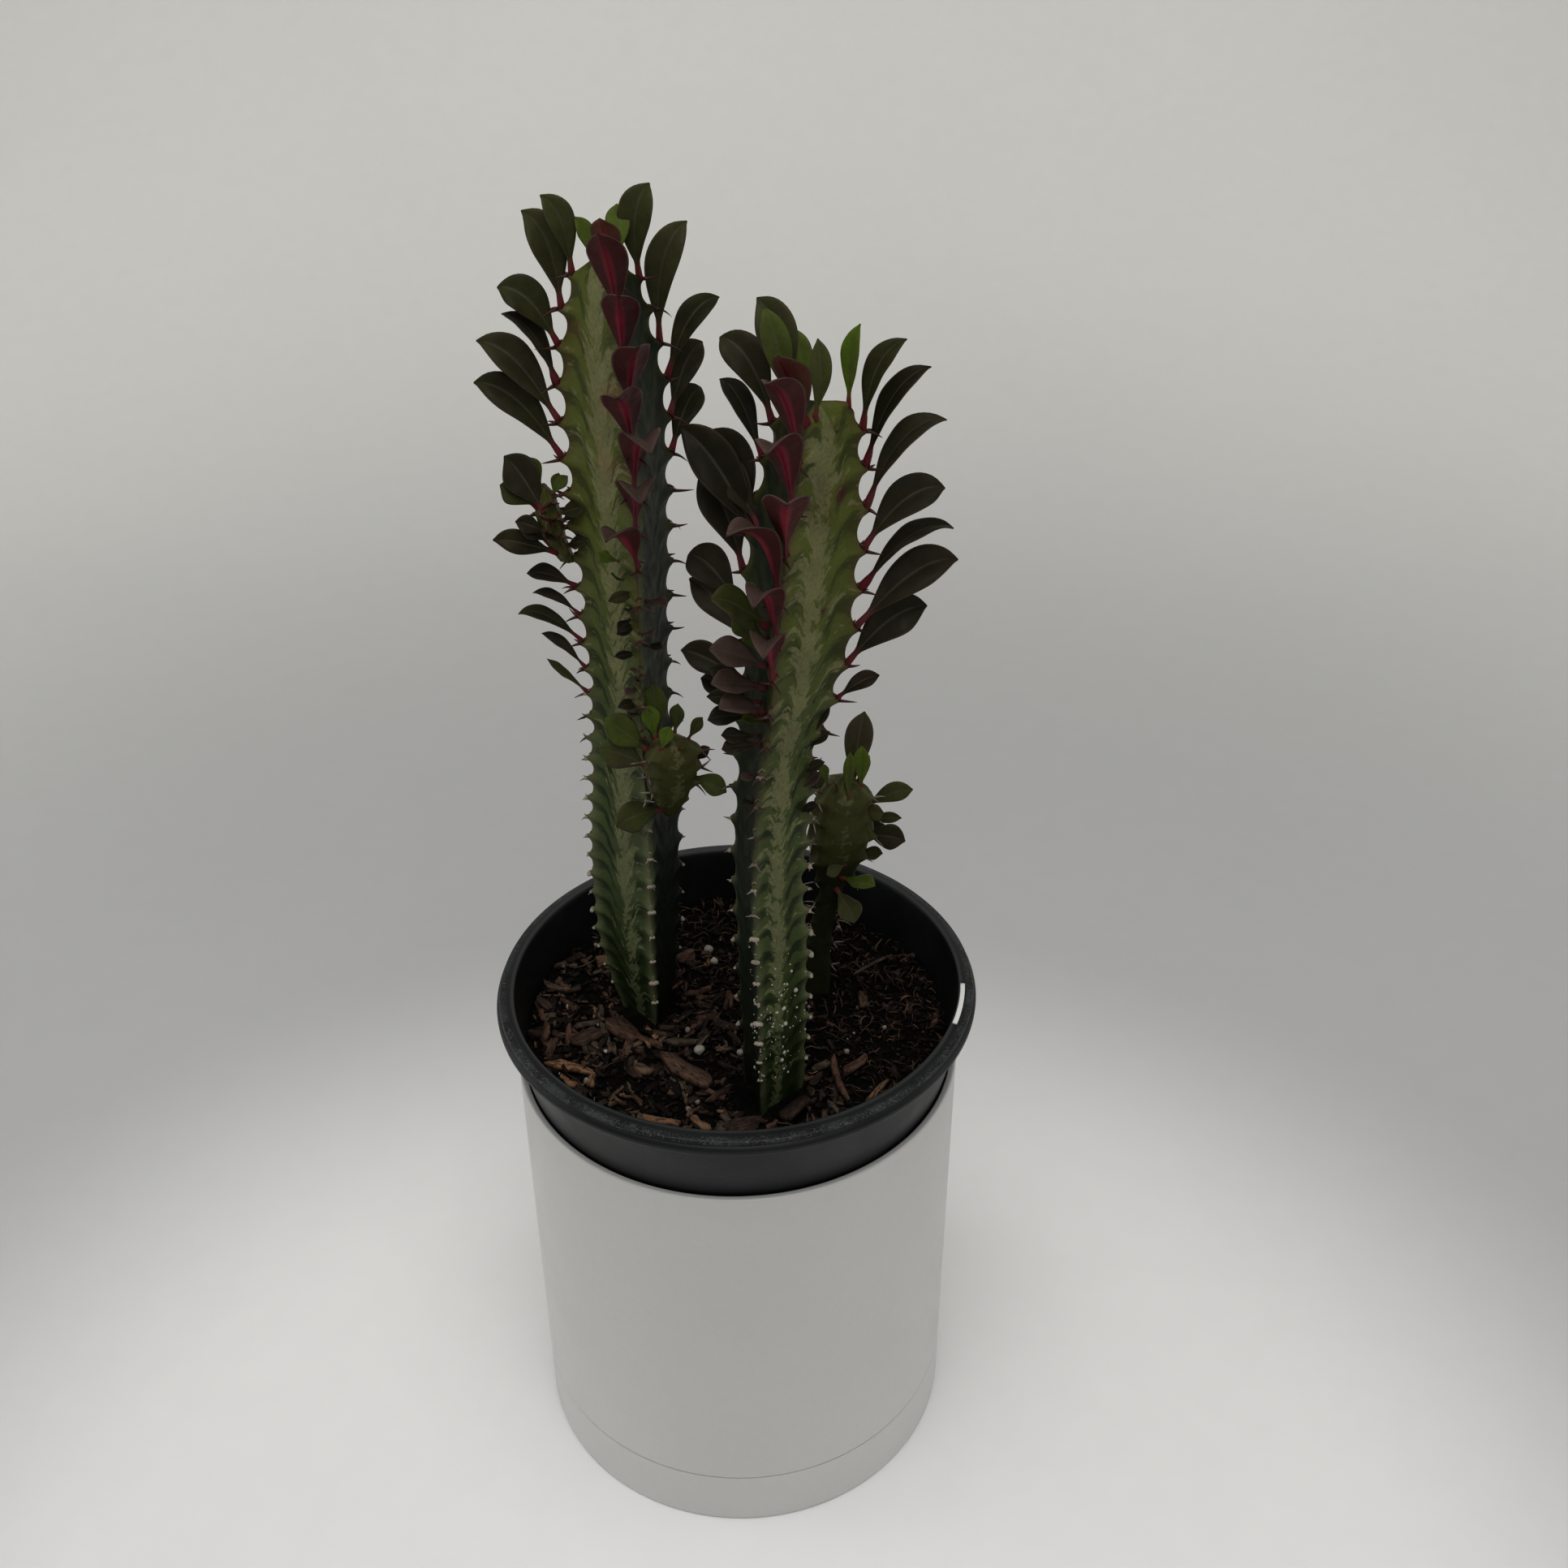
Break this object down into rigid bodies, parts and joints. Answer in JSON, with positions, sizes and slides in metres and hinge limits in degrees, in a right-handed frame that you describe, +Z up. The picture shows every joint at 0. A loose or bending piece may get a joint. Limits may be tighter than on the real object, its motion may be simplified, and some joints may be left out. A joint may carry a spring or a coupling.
{
  "type": "potted euphorbia",
  "caption": "Ribbed upright succulent stems with paddle leaves, rooted in bark mix in a black plastic pot that hangs in a pale ceramic cylinder planter on a flush saucer.",
  "frame": {"origin": "centre of the underside of the saucer, on the planter's own axis", "axes": "+Z up along the axis of the planter; -Y towards the viewer, +X to the viewer's right"},
  "size_m": [0.165, 0.165, 0.4547],
  "materials": {
    "glaze": "off-white satin glaze",
    "glaze_body": "off-white satin glaze",
    "black_plastic": "black nursery plastic, scuffed on the lip",
    "potting_mix": "dark loose bark, peat and perlite mix",
    "stem_skin": "waxy green succulent skin with pale marbling",
    "leaf_skin": "waxy dark green and maroon leaf",
    "bark": "rough bark chip"
  },
  "bodies": {
    "root": {"planter_saucer": "glaze", "planter": "glaze_body", "nursery_pot": "black_plastic", "potting_mix": "potting_mix", "stem_left": "stem_skin", "stem_right": "stem_skin", "stem_short": "stem_skin", "shoot_side": "stem_skin", "shoot_small": "stem_skin", "leaf_left_outer_01": "leaf_skin", "leaf_left_outer_02": "leaf_skin", "leaf_left_outer_03": "leaf_skin", "leaf_left_outer_04": "leaf_skin", "leaf_left_outer_05": "leaf_skin", "leaf_left_outer_06": "leaf_skin", "leaf_left_outer_07": "leaf_skin", "leaf_left_outer_11": "leaf_skin", "leaf_left_outer_12": "leaf_skin", "leaf_left_outer_13": "leaf_skin", "leaf_left_outer_14": "leaf_skin", "leaf_left_outer_15": "leaf_skin", "leaf_left_front_02": "leaf_skin", "leaf_left_front_03": "leaf_skin", "leaf_left_front_04": "leaf_skin", "leaf_left_front_05": "leaf_skin", "leaf_left_front_06": "leaf_skin", "leaf_left_front_07": "leaf_skin", "leaf_left_front_08": "leaf_skin", "leaf_left_front_09": "leaf_skin", "leaf_left_rear_02": "leaf_skin", "leaf_left_rear_04": "leaf_skin", "leaf_left_rear_05": "leaf_skin", "leaf_left_rear_06": "leaf_skin", "leaf_left_rear_07": "leaf_skin", "leaf_right_outer_01": "leaf_skin", "leaf_right_outer_02": "leaf_skin", "leaf_right_outer_03": "leaf_skin", "leaf_right_outer_04": "leaf_skin", "leaf_right_outer_05": "leaf_skin", "leaf_right_outer_06": "leaf_skin", "leaf_right_outer_07": "leaf_skin", "leaf_right_outer_08": "leaf_skin", "leaf_right_outer_09": "leaf_skin", "leaf_right_front_02": "leaf_skin", "leaf_right_front_03": "leaf_skin", "leaf_right_front_04": "leaf_skin", "leaf_right_front_05": "leaf_skin", "leaf_right_front_06": "leaf_skin", "leaf_right_front_07": "leaf_skin", "leaf_right_front_08": "leaf_skin", "leaf_right_rear_02": "leaf_skin", "leaf_right_rear_03": "leaf_skin", "leaf_right_rear_04": "leaf_skin", "leaf_right_rear_06": "leaf_skin", "leaf_right_rear_07": "leaf_skin", "leaf_right_rear_08": "leaf_skin", "bark_chip_1": "bark", "bark_chip_2": "bark", "bark_chip_3": "bark"}
  },
  "joints": []
}
